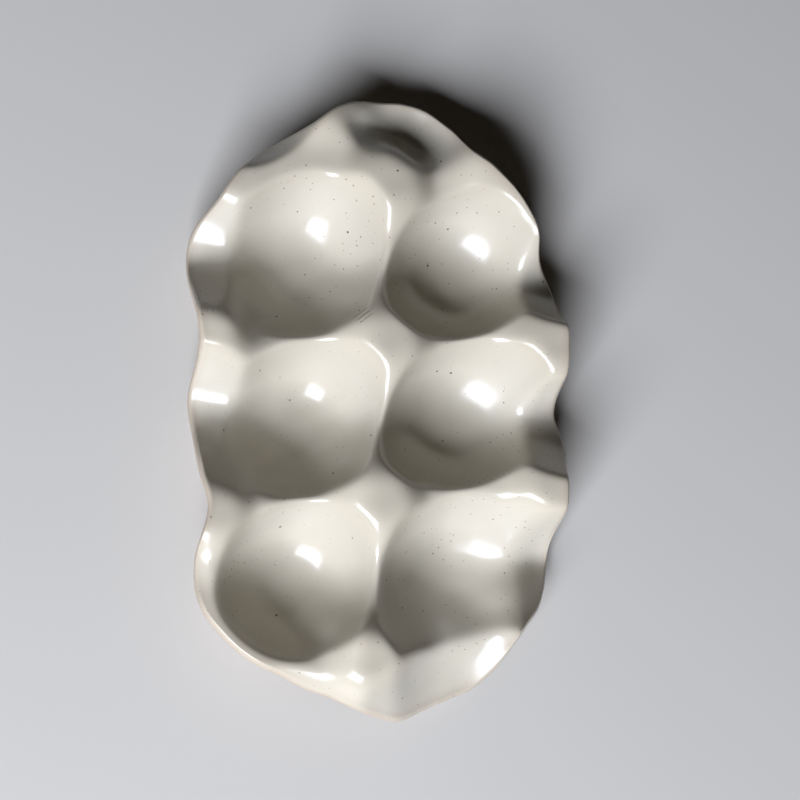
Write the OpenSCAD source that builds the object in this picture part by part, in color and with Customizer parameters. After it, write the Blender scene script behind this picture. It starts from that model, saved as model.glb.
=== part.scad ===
// Egg tray of fired stoneware with a glossy speckled glaze, standing on six foot pads.
// Millimetres, +Z up, the length of the tray runs along Y and the front is at -Y.
// One height field gives every surface: bowls for the cups, outer falls that run down to
// the rim, rounded ridges and flat peaks between them, a trench behind the back peak,
// and shallow swells where the hand has pressed the clay.

/* [Cups] */
// Distance between the centre lines of the two columns of cups
column_pitch = 56; // [52:1:60]
// Distance from one row of cups to the next
row_pitch = 54; // [50:1:58]
// Mean radius of a cup where its wall has gained the full rise
cup_radius = 30; // [28:0.5:32]
// Height that a cup wall gains at the cup radius
cup_rise = 31; // [27:0.5:35]
// Curve of the cup wall, a higher value gives a flatter floor and a steeper wall
cup_power = 3.4; // [3:0.1:3.8]

/* [Ridges and peaks] */
// Height of the ridges above the cup floor
ridge_rise = 22.5; // [19:0.5:26]
// Height that the peaks between four cups add to the ridges
peak_rise = 7; // [4:0.5:9]
// Radius of the flat top of a peak
peak_reach = 14; // [11:0.5:16]
// Rounding of a ridge where two cup walls meet
ridge_soft = 3; // [2:0.5:5]
// Rounding of the edge between a flat top and the walls around it
peak_soft = 2; // [1.5:0.25:3]

/* [Rim] */
// Distance from a column's centre line to the rim beside it
side_reach = 36; // [33:0.5:40]
// Curve of the falls beside the cups, a higher value gives a flatter floor and a steeper wall
side_power = 2.2; // [1.8:0.1:2.8]
// Distance from the end row's mean line to the rim at that end
end_reach = 50; // [46:0.5:54]
// Distance that all rows sit towards the front
row_shift = 8.5; // [6:0.5:11]
// Depth of the rounded edge of the rim
rim_round = 1.6; // [1.3:0.1:2.4]
// Depth of the trench behind the back peak
trench_depth = 13; // [9:0.5:15]

/* [Wall] */
// Thickness of the fired shell
wall = 5; // [4:0.25:6]
// Thickness of the glaze coat
glaze = 0.5; // [0.35:0.05:0.8]
// Depth of the flat seat that is ground under each cup
seat_cut = 1.5; // [1.2:0.1:2]

/* [Foot pads] */
// Diameter of a foot pad
pad_d = 11; // [8:0.5:13]
// Height of a foot pad
pad_t = 2.5; // [1.5:0.25:4]
// Bevel around the lower edge of a foot pad
pad_bevel = 0.6; // [0.3:0.1:1]

/* [Hidden] */

// Space between the glaze and the shell, so that the two skins stay apart
bond = 0.05;
half_w = column_pitch / 2 + side_reach;
half_l = row_pitch + end_reach;
cup_floor = pad_t + wall - seat_cut + glaze;

// Cells of the surface grid across the width and along the length
cells_x = 36;
cells_y = 56;

// Millimetres that the rim stands outside the ellipse half_w by half_l,
// anticlockwise from the right-hand side, one row of the list per quarter turn
rim_wave = [
  1, 1, 3, 6.5, 4.5, 4.5, 2.5, -0.5, -2.5, 2, 4.5, 4.5,
  3, 1.5, 0, -1, 1.5, 4, 5.5, 6.5, 10, 7, 1.5, -1.5,
  0, -1, -1, -1, 7, 11, 9.5, 6.5, 2.5, 0.5, -1, 0,
  2, 4.5, 4, 5, 7.5, 7.5, 6.5, 9.5, 9, 4.5, 2, 5
];

// Hand-made differences of each cup: side, row, shift in x and y, then what is added
// to its radius to the left, right, front and back, how far its upper wall leans askew,
// and what is added to the curve of its wall
cup_form = [
  [-1, 1, 3, 2.5, 5.5, -1.5, 2, 1, 0.14, -0.5],
  [1, 1, 0, -1, 0, 1, -4.5, 0.5, 0.24, 0],
  [-1, 0, 3, 2, 4.5, -2, 1, -2.5, 0.18, -0.5],
  [1, 0, 0.5, 1, 2.5, 1.5, -5.5, 0.5, 0.28, -0.2],
  [-1, -1, 0.5, 1, 0, -1.5, -2, -1, 0.1, -0.6],
  [1, -1, -2, 4.5, 1, 10, 4.5, -1.5, 0.2, -0.8]
];

// Falls beside the cups: side, row, shift in y, reach inwards from the rim,
// front and back radius, height of the floor above the cup floor
side_out = 12;
side_falls = [
  [-1, 1, 2, 46, 25, 29, 5],
  [-1, 0, 5, 46, 28, 22, 5],
  [-1, -1, 0, 18, 26, 26, 12],
  [1, 1, 0, 42, 22, 21, 5],
  [1, 0, 4.5, 44, 26, 15, 5],
  [1, -1, 8, 54, 38, 19, 2]
];

// Falls at the ends: x as a share of the column pitch, end, distance outside the end,
// radius to the left, to the right and along the length
end_falls = [
  [-0.62, -1, 33, 53, 53, 53],
  [0.32, -1, 34, 53, 53, 53],
  [0.6, -1, 5, 37, 36, 42],
  [-0.86, 1, 9, 40, 35, 40]
];
end_fall_lift = 2.5;

// Peaks: column and row in pitches, shift in x and y, height and reach as a share of a full peak
peaks = [
  [0, 0.5, 1, 0.5, 1, 1],
  [0, -0.5, -1.5, 1, 1, 1],
  [0, 1.5, 0.5, 1, 1, 1],
  [0, -1.5, -3, 2.5, 0.86, 0.93],
  [-1, 0.5, -3, -2, 0.72, 0.9],
  [-1, -0.5, -1, -4, 0.8, 0.9],
  [1, 0.5, 3, 1.5, 0.86, 1.05],
  [1, -0.5, 2, 6.5, 0.86, 1],
  [1, 1.5, -12, 17.5, 0.5, 1.5],
  [0.5, -1.5, 7, 4, -1.4, 1.05]
];

// Trench along an arc behind the back peak: centre and radius of the arc,
// its width towards the peak and towards the rim, middle direction and half spread
trench_x = -1;
trench_y = 1.5 * row_pitch - row_shift + 3.5;
trench_r = 22.5;
trench_in = 8;
trench_out = 17;
trench_mid = 70;
trench_spread = 48;

// Swells and hollows: column and row in pitches, shift in x and y, height, half width, half length
swells = [
  [0.5, -1, 16, -24, 2.5, 14, 10],
  [-1, -0.5, 3, 13.5, -5, 8, 9],
  [-0.5, -1, 14.5, -13, 4, 9.5, 8.5],
  [0, 0, -10, -12, 3.5, 9.5, 11],
  [0, 1, -10.5, -11, 3, 9.5, 10],
  [0, 1.5, -8, 29, 6, 9, 7],
  [0.5, 1.5, 4, 13, 3, 13, 9],
  [-1, 0.5, 14, 4, -3, 8, 6]
];

// Slightly square plan of a cup, as a share of its radius
cup_square = 0.04;

cups = [for (c = cup_form) [
  c[0] * column_pitch / 2 + c[2],
  c[1] * row_pitch - row_shift + c[3],
  cup_radius + c[4], cup_radius + c[5], cup_radius + c[6], cup_radius + c[7],
  cup_floor,
  c[8],
  cup_power + c[9]
]];
falls = concat(
  [for (f = side_falls) [
    f[0] * (half_w + side_out),
    f[1] * row_pitch - row_shift + f[2],
    side_out + f[3], side_out + f[3], f[4], f[5],
    cup_floor + f[6],
    0,
    side_power
  ]],
  [for (f = end_falls) [
    f[0] * column_pitch,
    f[1] * (half_l + f[2]),
    f[3], f[4], f[5], f[5],
    cup_floor + end_fall_lift,
    0,
    cup_power
  ]]
);
bowls = concat(cups, falls);

function sum(list) = list * [for (v = list) 1];

// Smallest of several heights, with a rounded change from one to the next
function soft_min(heights, soft) =
  let (low = min(heights))
  low - soft * ln(sum([for (h = heights) exp((low - h) / soft)]));

// Height of one bowl, grown outwards by the given thickness
function bowl(x, y, b, grow) =
  let (
    dx = x - b[0],
    dy = y - b[1],
    u = dx / ((dx < 0 ? b[2] : b[3]) + grow),
    w = dy / ((dy < 0 ? b[4] : b[5]) + grow),
    v = w - b[7] * u * min(u * u + w * w, 1),
    q2 = max(u * u + v * v, 0.000001),
    square = 8 * u * u * v * v / (q2 * q2),
    q = min(sqrt(q2) / (1 - cup_square * square / 2), 3)
  )
  b[6] - grow + cup_rise * pow(q, b[8]);

// Upper limit of the height: ridge level with the flat peaks raised on it
function ceiling(x, y) =
  cup_floor + ridge_rise + sum([for (p = peaks)
    let (
      dx = x - p[0] * column_pitch - p[2],
      dy = y - p[1] * row_pitch + row_shift - p[3],
      q2 = (dx * dx + dy * dy) / pow(p[5] * peak_reach, 2)
    )
    p[4] * peak_rise * exp(-q2 * q2)
  ]);

function trench(x, y) =
  let (
    r = norm([x - trench_x, y - trench_y]) - trench_r,
    turn = (atan2(y - trench_y, x - trench_x) - trench_mid) / trench_spread
  )
  trench_depth * exp(-pow(r / (r < 0 ? trench_in : trench_out), 2) - pow(turn, 4));

function swell(x, y) =
  sum([for (w = swells)
    let (
      u = (x - w[0] * column_pitch - w[2]) / w[5],
      v = (y - w[1] * row_pitch + row_shift - w[3]) / w[6]
    )
    w[4] * exp(-u * u - v * v)
  ]);

// Height of the tray at a place, lowered all round by the given thickness
function height(x, y, grow) =
  soft_min([
    ceiling(x, y) - grow,
    soft_min([for (b = bowls) bowl(x, y, b, grow)], ridge_soft)
  ], peak_soft) - trench(x, y) + swell(x, y);

// Rim at an angle of the ellipse, the wave runs smoothly through the listed values
function wave(angle) =
  let (
    n = len(rim_wave),
    t = (angle < 0 ? angle + 360 : angle) / 360 * n,
    k = floor(t),
    f = t - k,
    a = rim_wave[(k + n - 1) % n],
    b = rim_wave[k % n],
    c = rim_wave[(k + 1) % n],
    d = rim_wave[(k + 2) % n]
  )
  b + f * (c - a + f * (2 * a - 5 * b + 4 * c - d + f * (3 * (b - c) + d - a))) / 2;
function rim(angle) =
  [(half_w + wave(angle)) * cos(angle), (half_l + wave(angle)) * sin(angle)];

// Point of the grid on the unit disc, and the same point inside the rim
function disc(i, j) =
  let (u = 2 * i / cells_x - 1, v = 2 * j / cells_y - 1)
  [u * sqrt(1 - v * v / 2), v * sqrt(1 - u * u / 2)];
function place(d) =
  let (edge = rim(atan2(d[1], d[0])))
  norm(d) * (1 - rim_round / norm(edge)) * edge;

grid = [for (j = [0:cells_y]) for (i = [0:cells_x]) disc(i, j)];
plan = [for (d = grid) place(d)];

// Grid points along the edge, anticlockwise from the front left corner
function at(i, j) = j * (cells_x + 1) + i;
edge_ids = concat(
  [for (i = [0:cells_x - 1]) at(i, 0)],
  [for (j = [0:cells_y - 1]) at(cells_x, j)],
  [for (i = [cells_x:-1:1]) at(i, cells_y)],
  [for (j = [cells_y:-1:1]) at(0, j)]
);
edge_n = len(edge_ids);
edge_angles = [for (k = edge_ids) atan2(grid[k][1], grid[k][0])];
edge_dirs = [for (a = edge_angles) rim(a) / norm(rim(a))];

// Middle of the rim, which goes to the origin
rim_x = [for (a = edge_angles) rim(a)[0]];
rim_y = [for (a = edge_angles) rim(a)[1]];
rim_mid = [(max(rim_x) + min(rim_x)) / 2, (max(rim_y) + min(rim_y)) / 2, 0];

function upper(grow) = [for (p = plan) [p[0], p[1], height(p[0], p[1], grow)]];
function under(grow) = [for (p = plan) [p[0], p[1], max(pad_t, height(p[0], p[1], grow))]];

// One ring of the rounded rim: reach outwards, middle heights, half heights and turn
function ring(reach, mids, halves, turn) = [for (k = [0:edge_n - 1])
  let (p = plan[edge_ids[k]], out = reach * cos(turn) * edge_dirs[k])
  [p[0] + out[0], p[1] + out[1], mids[k] + halves[k] * sin(turn)]
];
function edge_z(sheet) = [for (k = edge_ids) sheet[k][2]];

// Triangles of a sheet that faces up, with the points starting at a given index
function sheet_faces(first) = [for (j = [0:cells_y - 1]) for (i = [0:cells_x - 1])
  let (
    a = first + at(i, j),
    b = first + at(i + 1, j),
    c = first + at(i + 1, j + 1),
    d = first + at(i, j + 1),
    same = (i < cells_x / 2) == (j < cells_y / 2)
  )
  each (same ? [[a, c, b], [a, d, c]] : [[a, d, b], [b, d, c]])
];
function flip(faces) = [for (f = faces) [f[0], f[2], f[1]]];

// Triangles between two closed loops of points, from the upper loop down to the lower one
function band(high, low) = [for (k = [0:edge_n - 1])
  let (m = (k + 1) % edge_n)
  each [[high[k], high[m], low[k]], [low[k], high[m], low[m]]]
];
function loop_at(first) = [for (k = [0:edge_n - 1]) first + k];
function edge_at(first) = [for (k = edge_ids) first + k];
function bands(loops) = [for (k = [0:len(loops) - 2]) each band(loops[k], loops[k + 1])];

shell_turns = [60, 30, 0, -30, -60];
coat_turns = [60, 30, 0];

function shell_top() = upper(glaze + bond);
function shell_under() = under(glaze + wall);

module tray_body() {
  top = shell_top();
  low = shell_under();
  mids = (edge_z(top) + edge_z(low)) / 2;
  halves = (edge_z(top) - edge_z(low)) / 2;
  rings = [for (t = shell_turns) each ring(rim_round - glaze - bond, mids, halves, t)];
  n = len(plan);
  loops = concat(
    [edge_at(0)],
    [for (k = [0:len(shell_turns) - 1]) loop_at(2 * n + k * edge_n)],
    [edge_at(n)]
  );
  color([0.72, 0.62, 0.50])
    translate(-rim_mid)
      polyhedron(
        concat(top, low, rings),
        concat(sheet_faces(0), flip(sheet_faces(n)), bands(loops))
      );
}

module glaze_coat() {
  top = upper(0);
  low = upper(glaze);
  mids = (edge_z(shell_top()) + edge_z(shell_under())) / 2;
  outer = [for (t = coat_turns) each ring(rim_round, mids, edge_z(top) - mids, t)];
  inner = [for (t = coat_turns) each ring(rim_round - glaze, mids, edge_z(low) - mids, t)];
  n = len(plan);
  m = len(coat_turns);
  loops = concat(
    [edge_at(0)],
    [for (k = [0:m - 1]) loop_at(2 * n + k * edge_n)],
    [for (k = [m - 1:-1:0]) loop_at(2 * n + (m + k) * edge_n)],
    [edge_at(n)]
  );
  color([0.92, 0.90, 0.85])
    translate(-rim_mid)
      polyhedron(
        concat(top, low, outer, inner),
        concat(sheet_faces(0), flip(sheet_faces(n)), bands(loops))
      );
}

// Foot pad under one cup of the list, its top lies against the flat seat of the shell
module foot_pad(cup) {
  color([0.30, 0.30, 0.31])
    translate([cup[0] - rim_mid[0], cup[1] - rim_mid[1], 0])
      rotate_extrude()
        polygon([
          [0, 0],
          [pad_d / 2 - pad_bevel, 0],
          [pad_d / 2, pad_bevel],
          [pad_d / 2, pad_t],
          [0, pad_t]
        ]);
}

module pad_back_left() {
  foot_pad(cups[0]);
}

module pad_back_right() {
  foot_pad(cups[1]);
}

module pad_middle_left() {
  foot_pad(cups[2]);
}

module pad_middle_right() {
  foot_pad(cups[3]);
}

module pad_front_left() {
  foot_pad(cups[4]);
}

module pad_front_right() {
  foot_pad(cups[5]);
}

tray_body();
glaze_coat();
pad_back_left();
pad_back_right();
pad_middle_left();
pad_middle_right();
pad_front_left();
pad_front_right();
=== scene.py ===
import math

import bpy
import numpy as np
from mathutils import Matrix, Vector


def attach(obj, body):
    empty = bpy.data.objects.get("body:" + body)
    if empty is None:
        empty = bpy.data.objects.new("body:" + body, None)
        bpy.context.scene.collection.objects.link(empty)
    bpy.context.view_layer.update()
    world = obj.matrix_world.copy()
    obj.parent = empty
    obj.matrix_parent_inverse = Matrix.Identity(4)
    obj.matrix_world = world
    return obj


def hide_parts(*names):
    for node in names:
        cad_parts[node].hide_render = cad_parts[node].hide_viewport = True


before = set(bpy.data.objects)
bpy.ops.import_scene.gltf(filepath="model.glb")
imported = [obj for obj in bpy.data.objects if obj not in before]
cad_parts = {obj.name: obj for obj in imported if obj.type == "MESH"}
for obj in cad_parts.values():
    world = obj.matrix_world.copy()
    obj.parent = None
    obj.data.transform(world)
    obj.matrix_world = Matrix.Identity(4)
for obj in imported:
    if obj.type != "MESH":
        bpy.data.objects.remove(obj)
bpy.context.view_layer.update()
MM = 0.001

# Sizes of the part, in millimetres, as in the part's source
column_pitch, row_pitch = 56.0, 54.0
cup_radius, cup_rise, cup_power, cup_square = 30.0, 31.0, 3.4, 0.04
ridge_rise, peak_rise, peak_reach = 22.5, 7.0, 14.0
ridge_soft, peak_soft = 3.0, 2.0
side_reach, end_reach, row_shift, rim_round = 36.0, 50.0, 8.5, 1.6
half_w, half_l = column_pitch / 2 + side_reach, row_pitch + end_reach
wall, glaze, seat_cut, pad_t, bond = 5.0, 0.5, 1.5, 2.5, 0.05
cup_floor = pad_t + wall - seat_cut + glaze
# How far the rim stands out from an oval, at even steps counter-clockwise from the right side
rim_wave = np.array([
    1, 1, 3, 6.5, 4.5, 4.5, 2.5, -0.5, -2.5, 2, 4.5, 4.5,
    3, 1.5, 0, -1, 1.5, 4, 5.5, 6.5, 10, 7, 1.5, -1.5,
    0, -1, -1, -1, 7, 11, 9.5, 6.5, 2.5, 0.5, -1, 0,
    2, 4.5, 4, 5, 7.5, 7.5, 6.5, 9.5, 9, 4.5, 2, 5])
# Cups: side, row, shift in x and y, added to the radius left, right, front and back, skew, added to cup_power
cup_form = [
    (-1, 1, 3, 2.5, 5.5, -1.5, 2, 1, 0.14, -0.5), (1, 1, 0, -1, 0, 1, -4.5, 0.5, 0.24, 0),
    (-1, 0, 3, 2, 4.5, -2, 1, -2.5, 0.18, -0.5), (1, 0, 0.5, 1, 2.5, 1.5, -5.5, 0.5, 0.28, -0.2),
    (-1, -1, 0.5, 1, 0, -1.5, -2, -1, 0.1, -0.6), (1, -1, -2, 4.5, 1, 10, 4.5, -1.5, 0.2, -0.8)]
# Falls from the cups to the sides: side, row, shift in y, reach inwards, front and back radius, lift
side_out, side_power = 12.0, 2.2
side_falls = [
    (-1, 1, 2, 46, 25, 29, 5), (-1, 0, 5, 46, 28, 22, 5), (-1, -1, 0, 18, 26, 26, 12),
    (1, 1, 0, 42, 22, 21, 5), (1, 0, 4.5, 44, 26, 15, 5), (1, -1, 8, 54, 38, 19, 2)]
# Falls to the ends: x in column pitches, end, distance outside the end, radius left, right and in depth
end_fall_lift = 2.5
end_falls = [
    (-0.62, -1, 33, 53, 53, 53), (0.32, -1, 34, 53, 53, 53),
    (0.6, -1, 5, 37, 36, 42), (-0.86, 1, 9, 40, 35, 40)]
# Peaks: column and row in pitches, shift in x and y, height and reach as a share of a full peak
peaks = [
    (0, 0.5, 1, 0.5, 1, 1), (0, -0.5, -1.5, 1, 1, 1),
    (0, 1.5, 0.5, 1, 1, 1), (0, -1.5, -3, 2.5, 0.86, 0.93),
    (-1, 0.5, -3, -2, 0.72, 0.9), (-1, -0.5, -1, -4, 0.8, 0.9),
    (1, 0.5, 3, 1.5, 0.86, 1.05), (1, -0.5, 2, 6.5, 0.86, 1), (1, 1.5, -12, 17.5, 0.5, 1.5),
    (0.5, -1.5, 7, 4, -1.4, 1.05)]
# Trench behind the back peak: an arc about trench_at, from trench_mid by trench_spread degrees each way
trench_at, trench_r = (-1.0, 1.5 * row_pitch - row_shift + 3.5), 22.5
trench_mid, trench_spread = 70, 48
trench_depth, trench_in, trench_out = 13, 8, 17
# Swells: column and row in pitches, shift in x and y, height, half width, half length
swells = [
    (0.5, -1, 16, -24, 2.5, 14, 10), (-1, -0.5, 3, 13.5, -5, 8, 9),
    (-0.5, -1, 14.5, -13, 4, 9.5, 8.5), (0, 0, -10, -12, 3.5, 9.5, 11), (0, 1, -10.5, -11, 3, 9.5, 10),
    (0, 1.5, -8, 29, 6, 9, 7), (0.5, 1.5, 4, 13, 3, 13, 9),
    (-1, 0.5, 14, 4, -3, 8, 6)]
# Marks of the fingers, which the source leaves out: place in x and y, height, half width, half length
marks = [
    (-66, 37.5, 3.5, 8, 8), (-63, -20, 3.5, 8, 8), (62, -51, -4, 11, 9), (-20, 95, 3, 11, 8),
    (-44, 50, -2.5, 12, 9), (-46, 37, 1.5, 10, 8), (-39, 25, -1, 9, 4.5), (-50, 23, 1.5, 7, 5),
    (-9, 31, -1.2, 7, 5), (-5, 58, 1.5, 9, 9), (-44, -8, -2.5, 12, 9), (-46, -22, 1.5, 10, 8),
    (-38, -29, -2, 9, 5), (-36, -38, 1.5, 10, 5), (-9, -24, -1.2, 7, 5), (-6, 2, 1.5, 9, 9),
    (44, -64, 2, 10, 8), (42, -80, -2, 11, 6), (25, -73, 3.5, 12, 9), (-24, -83, -2, 10, 6)]

# Each bowl: middle in x and y, radius left, right, front and back, lowest height, skew, power
cups = [(c[0] * column_pitch / 2 + c[2], c[1] * row_pitch - row_shift + c[3],
         cup_radius + c[4], cup_radius + c[5], cup_radius + c[6], cup_radius + c[7],
         cup_floor, c[8], cup_power + c[9]) for c in cup_form]
bowls = cups + [
    (f[0] * (half_w + side_out), f[1] * row_pitch - row_shift + f[2],
     side_out + f[3], side_out + f[3], f[4], f[5], cup_floor + f[6], 0, side_power)
    for f in side_falls] + [
    (f[0] * column_pitch, f[1] * (half_l + f[2]),
     f[3], f[4], f[5], f[5], cup_floor + end_fall_lift, 0, cup_power) for f in end_falls]


# The height field of the tray
def soft_min(heights, soft):
    h = np.stack(heights)
    low = h.min(0)
    return low - soft * np.log(np.exp((low - h) / soft).sum(0))


def bowl(x, y, b, grow):
    dx, dy = x - b[0], y - b[1]
    u = dx / (np.where(dx < 0, b[2], b[3]) + grow)
    v = dy / (np.where(dy < 0, b[4], b[5]) + grow)
    v = v - b[7] * u * np.minimum(u * u + v * v, 1)
    q2 = np.maximum(u * u + v * v, 1e-6)
    q = np.sqrt(q2) / (1 - cup_square * 4 * (u * v / q2) ** 2)
    return b[6] - grow + cup_rise * np.minimum(q, 3) ** b[8]


def ceiling(x, y):
    z = cup_floor + ridge_rise
    for col, row, dx, dy, high, reach in peaks:
        q2 = (x - col * column_pitch - dx) ** 2 + (y - row * row_pitch + row_shift - dy) ** 2
        z = z + high * peak_rise * np.exp(-(q2 / (reach * peak_reach) ** 2) ** 2)
    return z


def uneven(x, y):
    dx, dy = x - trench_at[0], y - trench_at[1]
    r = np.hypot(dx, dy) - trench_r
    turn = (np.degrees(np.arctan2(dy, dx)) - trench_mid) / trench_spread
    z = -trench_depth * np.exp(-(r / np.where(r < 0, trench_in, trench_out)) ** 2 - turn ** 4)
    for col, row, sx, sy, high, wide, long in swells:
        u = (x - col * column_pitch - sx) / wide
        v = (y - row * row_pitch + row_shift - sy) / long
        z = z + high * np.exp(-u * u - v * v)
    for mx, my, high, wide, long in marks:
        z = z + high * np.exp(-((x - mx) / wide) ** 2 - ((y - my) / long) ** 2)
    return z


def wobble(x, y):
    """Hand-made unevenness of the walls, always downwards so that the peaks keep their height."""
    fine_share, depth = 0.6, 0.11
    w = np.sin(x / 4.1 + y / 6.3 + 0.4) * np.sin(y / 4.7 - x / 9.0 + 1.9)
    w = w + fine_share * np.sin(x / 2.6 - y / 3.9 + 2.2) * np.sin(y / 2.9 + x / 5.5)
    return depth * (w - (1 + fine_share))


def height(x, y, grow):
    walls = soft_min([bowl(x, y, b, grow) for b in bowls], ridge_soft)
    return soft_min([ceiling(x, y) - grow, walls], peak_soft) + uneven(x, y) + wobble(x, y)


# The rim, and a grid inside it
def rim(angle):
    n = len(rim_wave)
    t = np.mod(angle, 2 * math.pi) / (2 * math.pi) * n
    k = np.floor(t).astype(int)
    f = t - k
    a, b, c, d = (rim_wave[(k + j) % n] for j in (-1, 0, 1, 2))
    w = b + f * (c - a + f * (2 * a - 5 * b + 4 * c - d + f * (3 * (b - c) + d - a))) / 2
    return np.stack([(half_w + w) * np.cos(angle), (half_l + w) * np.sin(angle)], -1)


turns = rim(np.linspace(0, 2 * math.pi, 4000))
rim_mid = (turns.max(0) + turns.min(0)) / 2
cells_x, cells_y = 160, 256
V, U = np.meshgrid(np.linspace(-1, 1, cells_y + 1), np.linspace(-1, 1, cells_x + 1), indexing="ij")
disc = np.stack([U * np.sqrt(1 - V * V / 2), V * np.sqrt(1 - U * U / 2)], -1).reshape(-1, 2)
edge = rim(np.arctan2(disc[:, 1], disc[:, 0]))
plan = np.linalg.norm(disc, axis=1, keepdims=True) * edge * (
    1 - rim_round / np.linalg.norm(edge, axis=1, keepdims=True))
ids = np.arange(len(plan)).reshape(cells_y + 1, cells_x + 1)
loop = np.concatenate([ids[0, :-1], ids[:-1, -1], ids[-1, :0:-1], ids[:0:-1, 0]])
outward = edge[loop] / np.linalg.norm(edge[loop], axis=1, keepdims=True)


def sheet(grow, lowest=-1e9):
    z = np.maximum(height(plan[:, 0], plan[:, 1], grow), lowest)
    return np.column_stack([plan, z])


def ring(reach, middle, half, turn):
    c, s = math.cos(math.radians(turn)), math.sin(math.radians(turn))
    return np.column_stack([plan[loop] + reach * c * outward, middle + half * s])


def new_object(name, data):
    obj = bpy.data.objects.new(name, data)
    bpy.context.scene.collection.objects.link(obj)
    return obj


def piece(name, top, low, rings):
    """A closed mesh: an upper sheet, rings around the rim from top to bottom, a lower sheet."""
    n, m = len(plan), len(loop)
    points = np.concatenate([top, low] + rings) - np.append(rim_mid, 0)
    quads = np.stack([ids[:-1, :-1], ids[:-1, 1:], ids[1:, 1:], ids[1:, :-1]], -1).reshape(-1, 4)
    loops = [loop] + [2 * n + m * k + np.arange(m) for k in range(len(rings))] + [loop + n]
    bands = [np.stack([a, b, np.roll(b, -1), np.roll(a, -1)], -1) for a, b in zip(loops, loops[1:])]
    faces = np.concatenate([quads, quads[:, ::-1] + n] + bands)
    mesh = bpy.data.meshes.new(name)
    mesh.from_pydata((points * MM).tolist(), [], faces.tolist())
    mesh.shade_smooth()
    return new_object(name, mesh)


def mark(obj, name, values):
    obj.data.attributes.new(name, "FLOAT", "POINT").data.foreach_set("value", values.astype(np.float32))


# Shell of fired clay, and the glaze over its top and over the rim as far as the glaze line
body_top, body_low = sheet(glaze + bond), sheet(glaze + wall, pad_t)
middle = (body_top[loop, 2] + body_low[loop, 2]) / 2
half = (body_top[loop, 2] - body_low[loop, 2]) / 2
body_turns = [75, 60, 45, 30, 15, 0, -15, -30, -45, -60, -75]
tray = piece("stoneware_shell", body_top, body_low,
             [ring(rim_round - glaze - bond, middle, half, t) for t in body_turns])

coat_turns = [80, 65, 50, 38, 27, 17, 8, 0, -6]
coat_thick = [0.5, 0.5, 0.5, 0.48, 0.44, 0.38, 0.3, 0.2, 0.1]
coat_top, coat_low = sheet(0), sheet(glaze)
outer = [ring(rim_round - glaze + t, middle, coat_low[loop, 2] - middle + t, a)
         for a, t in zip(coat_turns, coat_thick)]
inner = [ring(rim_round - glaze, middle, coat_low[loop, 2] - middle, a) for a in coat_turns]
coat = piece("glaze_surface", coat_top, coat_low, outer + inner[::-1])

# How near a point of the glaze is to the rim, and how convex the surface is there
near = np.linalg.norm(plan, axis=1) / np.linalg.norm(edge, axis=1)
inside = (1 - near) * np.linalg.norm(edge, axis=1) - rim_round
line_width, line_share, full_turn = 1.6, 0.35, 75
rim_share = np.exp(-(inside / line_width) ** 2) * line_share
ring_share = np.repeat(
    np.clip(line_share + (coat_turns[0] - np.array(coat_turns)) / full_turn, 0, 1), len(loop))
mark(coat, "rim_share", np.concatenate([rim_share, rim_share, ring_share, ring_share[::-1]]))
step, full_bend = 2.0, 0.5
bend = sum(height(plan[:, 0] + dx, plan[:, 1] + dy, 0)
           for dx, dy in ((step, 0), (-step, 0), (0, step), (0, -step))) / 4 - coat_top[:, 2]
convex = np.clip(-bend / full_bend, -1, 1)
mark(coat, "convex", np.concatenate([convex, convex, np.tile(convex[loop], 2 * len(coat_turns))]))


# Materials
class Nodes:
    """A material's node tree, with a short way to add and join nodes."""

    def __init__(self, name):
        self.material = bpy.data.materials.new(name)
        self.material.use_nodes = True
        self.tree = self.material.node_tree
        self.shader = self.tree.nodes["Principled BSDF"]
        self.coords = self.tree.nodes.new("ShaderNodeTexCoord").outputs["Object"]

    def feed(self, socket, value):
        """Link an input to another node's output, or give it a plain value."""
        if isinstance(value, bpy.types.NodeSocket):
            self.tree.links.new(value, socket)
        else:
            socket.default_value = value

    def add(self, kind, inputs=None, **settings):
        n = self.tree.nodes.new("ShaderNode" + kind)
        for key, value in settings.items():
            setattr(n, key, value)
        for key, value in (inputs or {}).items():
            self.feed(n.inputs[key], value)
        return n

    def noise(self, scale, detail=2.0, rough=0.5):
        return self.add("TexNoise", {"Vector": self.coords, "Scale": scale, "Detail": detail,
                                     "Roughness": rough}).outputs["Fac"]

    def span(self, value, low, high, to_low=0.0, to_high=1.0):
        return self.add("MapRange", {"Value": value, "From Min": low, "From Max": high,
                                     "To Min": to_low, "To Max": to_high},
                        interpolation_type="SMOOTHSTEP").outputs["Result"]

    def math(self, operation, a, b):
        return self.add("Math", {0: a, 1: b}, operation=operation).outputs[0]

    def mix(self, share, a, b):
        return self.add("Mix", {0: share, 6: a, 7: b}, data_type="RGBA").outputs[2]

    def attribute(self, name):
        return self.add("Attribute", attribute_name=name).outputs["Fac"]

    def specks(self, cell, small, large, share):
        """Specks of iron: spheres of random size in the clay, cut by the surface. Millimetres."""
        v = self.add("TexVoronoi", {"Vector": self.coords, "Scale": 1 / (cell * MM), "Randomness": 1.0})
        colour = self.add("SeparateColor", {"Color": v.outputs["Color"]})
        there = self.math("LESS_THAN", colour.outputs[0], share)
        size = self.span(colour.outputs[1], 0, 1, small / cell, large / cell)
        far = self.math("DIVIDE", v.outputs["Distance"], size)
        return self.math("MULTIPLY", self.span(far, 1.25, 0.75), there)

    def bump(self, height, distance, strength=1.0, under=None):
        inputs = {"Height": height, "Distance": distance * MM, "Strength": strength}
        if under is not None:
            inputs["Normal"] = under
        return self.add("Bump", inputs).outputs["Normal"]

    def set(self, **values):
        for key, value in values.items():
            self.feed(self.shader.inputs[key.replace("_", " ")], value)
        return self.material


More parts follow.
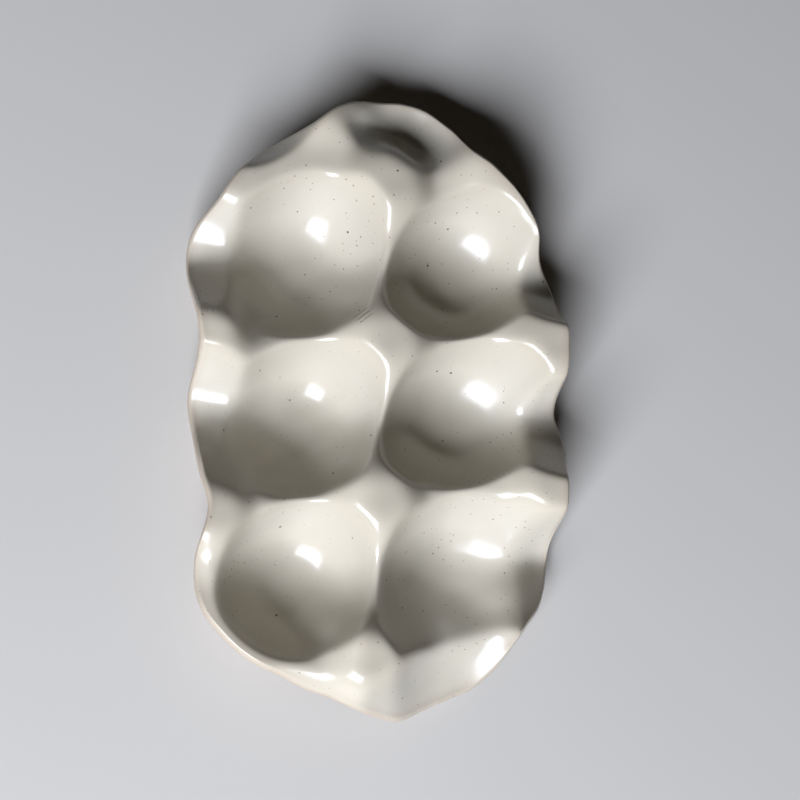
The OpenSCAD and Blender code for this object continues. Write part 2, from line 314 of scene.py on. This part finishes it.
def wrinkles(m):
    """Three short wrinkles in the glaze, 1.4 mm apart, at the left of the peak behind the middle."""
    spot = Vector((-7.7 - rim_mid[0], 26.5 - rim_mid[1], 0)) * MM
    place = m.add("VectorMath", {0: m.coords, 1: spot}, operation="SUBTRACT").outputs[0]

    def distance(way):
        dot = m.add("VectorMath", {0: place, 1: way}, operation="DOT_PRODUCT")
        return m.math("ABSOLUTE", dot.outputs["Value"], 0)

    along, across = distance((0.77, 0.64, 0)), distance((-0.64, 0.77, 0))
    lines = m.span(m.math("PINGPONG", across, 0.7 * MM), 0.3 * MM, 0.05 * MM)
    ends = m.math("MULTIPLY", m.span(along, 3.6 * MM, 1.8 * MM), m.span(across, 1.9 * MM, 1.3 * MM))
    return m.math("MULTIPLY", lines, ends)


def glaze_material():
    m = Nodes("speckled_glaze")
    cream, pale_cream = (0.564, 0.520, 0.420, 1), (0.594, 0.552, 0.453, 1)
    painted_sheen_cream, thin_cream, rim_tan = (0.594, 0.541, 0.425, 1), (0.53, 0.475, 0.37, 1), (0.46, 0.37, 0.27, 1)
    speck_brown, speck_black, crease_shade = (0.17, 0.075, 0.05, 1), (0.06, 0.03, 0.02, 1), (0.22, 0.18, 0.13, 1)
    cloud = m.span(m.noise(38, 3), 0.3, 0.7)
    colour = m.mix(cloud, cream, pale_cream)
    # Painted sheen: the higher parts are painted a warmer cream than the cups, whose cooler cream stands in
    # for the bluish sheen they reflect
    high = m.span(m.add("SeparateXYZ", {"Vector": m.coords}).outputs["Z"], 22 * MM, 33 * MM)
    colour = m.mix(high, colour, painted_sheen_cream)
    thin = m.span(m.attribute("convex"), 0.25, 1.0, 0.0, 0.28)
    colour = m.mix(thin, colour, thin_cream)
    rim_line = m.math("MULTIPLY", m.attribute("rim_share"), m.span(m.noise(220, 3), 0.2, 0.6, 0.55, 1.0))
    colour = m.mix(rim_line, colour, rim_tan)
    clusters = m.span(m.noise(26, 2), 0.42, 0.62, 0.25, 1.0)
    fine = m.math("MULTIPLY", m.specks(2.2, 0.14, 0.30, 0.6), clusters)
    large = m.specks(6.0, 0.26, 0.42, 0.4)
    speck = m.math("MAXIMUM", fine, large)
    colour = m.mix(m.math("MULTIPLY", fine, 0.8), colour, speck_brown)
    colour = m.mix(m.math("MULTIPLY", large, 0.92), colour, speck_black)
    lines = wrinkles(m)
    # Painted shade: the wrinkle lines are painted dark brown as shade in their grooves
    colour = m.mix(m.math("MULTIPLY", lines, 0.5), colour, crease_shade)
    smooth = m.bump(m.noise(170, 2), 0.05, 0.35, m.bump(lines, -0.12))
    return m.set(Base_Color=colour, Roughness=m.span(m.noise(55, 3), 0.3, 0.7, 0.19, 0.25), IOR=1.5,
                 Normal=m.bump(speck, -0.03, 0.5, smooth))


def clay_material():
    m = Nodes("bare_stoneware")
    tan, pale_tan = (0.50, 0.39, 0.275, 1), (0.60, 0.48, 0.35, 1)
    grain_brown, speck_brown = (0.36, 0.27, 0.18, 1), (0.09, 0.055, 0.036, 1)
    grain = m.noise(900, 4, 0.7)
    colour = m.mix(m.span(m.noise(60, 3), 0.3, 0.7), tan, pale_tan)
    colour = m.mix(m.span(grain, 0.45, 0.8, 0, 0.5), colour, grain_brown)
    colour = m.mix(m.math("MULTIPLY", m.specks(2.2, 0.12, 0.36, 0.6), 0.8), colour, speck_brown)
    return m.set(Base_Color=colour, Roughness=m.span(grain, 0.3, 0.8, 0.78, 0.92),
                 Normal=m.bump(grain, 0.12, 0.6))


def pad_material():
    m = Nodes("foot_pad_silicone")
    grey, pale_grey = (0.50, 0.49, 0.46, 1), (0.57, 0.56, 0.53, 1)
    grain = m.noise(1400, 3, 0.6)
    colour = m.mix(m.span(m.noise(160, 3), 0.3, 0.7), grey, pale_grey)
    return m.set(Base_Color=colour, Roughness=m.span(grain, 0.3, 0.7, 0.42, 0.55),
                 Normal=m.bump(grain, 0.03, 0.5))


def dress(obj, material):
    obj.data.materials.clear()
    obj.data.materials.append(material)


dress(coat, glaze_material())
dress(tray, clay_material())
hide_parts("glaze_coat")
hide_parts("tray_body")
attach(coat, "root")
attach(tray, "root")
silicone = pad_material()
for name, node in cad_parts.items():
    if name.startswith("pad_"):
        dress(node, silicone)

# Floor
floor_half = 4
floor_mesh = bpy.data.meshes.new("floor")
floor_mesh.from_pydata(
    [(x * floor_half, y * floor_half, 0) for x, y in ((-1, -1), (1, -1), (1, 1), (-1, 1))], [], [(0, 1, 2, 3)])
floor = new_object("floor", floor_mesh)
paint = Nodes("floor_paint")
floor_grey, floor_pale = (0.608, 0.588, 0.540, 1), (0.628, 0.608, 0.558, 1)
tone = paint.mix(paint.noise(4, 2), floor_grey, floor_pale)
floor_mesh.materials.append(paint.set(Base_Color=tone, Roughness=0.6))


# Light from a large soft window at the front left. Angles in degrees, lengths in metres, power in watts.
def area_light(name, azimuth, elevation, distance, size, power, colour):
    lamp = bpy.data.lights.new(name, "AREA")
    lamp.shape = "RECTANGLE"
    lamp.size, lamp.size_y = size
    lamp.energy, lamp.color = power, colour
    obj = new_object(name, lamp)
    a, e = math.radians(azimuth), math.radians(elevation)
    towards = Vector((math.cos(e) * math.cos(a), math.cos(e) * math.sin(a), math.sin(e)))
    obj.location = towards * distance
    obj.rotation_mode = "QUATERNION"
    obj.rotation_quaternion = towards.to_track_quat("Z", "Y")


area_light("window", azimuth=-118, elevation=37, distance=1.9, size=(1.1, 0.92), power=58.0,
           colour=(0.945, 0.99, 1.125))

# The room gives little light, and shows as a plain grey behind the floor and in the gloss
world = bpy.data.worlds.new("room")
world.use_nodes = True
room = world.node_tree
path = room.nodes.new("ShaderNodeLightPath")
shown = path.outputs["Is Camera Ray"]
for kind in ("Is Glossy Ray", "Is Transmission Ray"):
    either = room.nodes.new("ShaderNodeMath")
    either.operation = "MAXIMUM"
    room.links.new(shown, either.inputs[0])
    room.links.new(path.outputs[kind], either.inputs[1])
    shown = either.outputs[0]
grey = room.nodes.new("ShaderNodeMix")
grey.data_type = "RGBA"
room.links.new(shown, grey.inputs[0])
room_light, room_seen = (0.005, 0.0042, 0.0033, 1), (0.09, 0.0885, 0.085, 1)
grey.inputs[6].default_value, grey.inputs[7].default_value = room_light, room_seen
room.links.new(grey.outputs[2], room.nodes["Background"].inputs["Color"])
scene = bpy.context.scene
scene.world = world
scene.view_settings.view_transform = "Standard"

# Camera above the tray, leaning a little to the left and to the front
lean_left, lean_front, camera_far = 12, 10, 0.52
target = Vector((7.5 - rim_mid[0], 0.4 - rim_mid[1], 20)) * MM
back = Vector((-math.tan(math.radians(lean_left)), -math.tan(math.radians(lean_front)), 1)).normalized()
up = (Vector((0, 1, 0)) - back * back.y).normalized()
right = up.cross(back)
place = target + back * camera_far
camera = bpy.data.cameras.new("camera")
camera.sensor_width = 36
camera.lens = 68.6
camera_object = new_object("camera", camera)
camera_object.matrix_world = Matrix((
    (right.x, up.x, back.x, place.x), (right.y, up.y, back.y, place.y),
    (right.z, up.z, back.z, place.z), (0, 0, 0, 1)))
scene.camera = camera_object
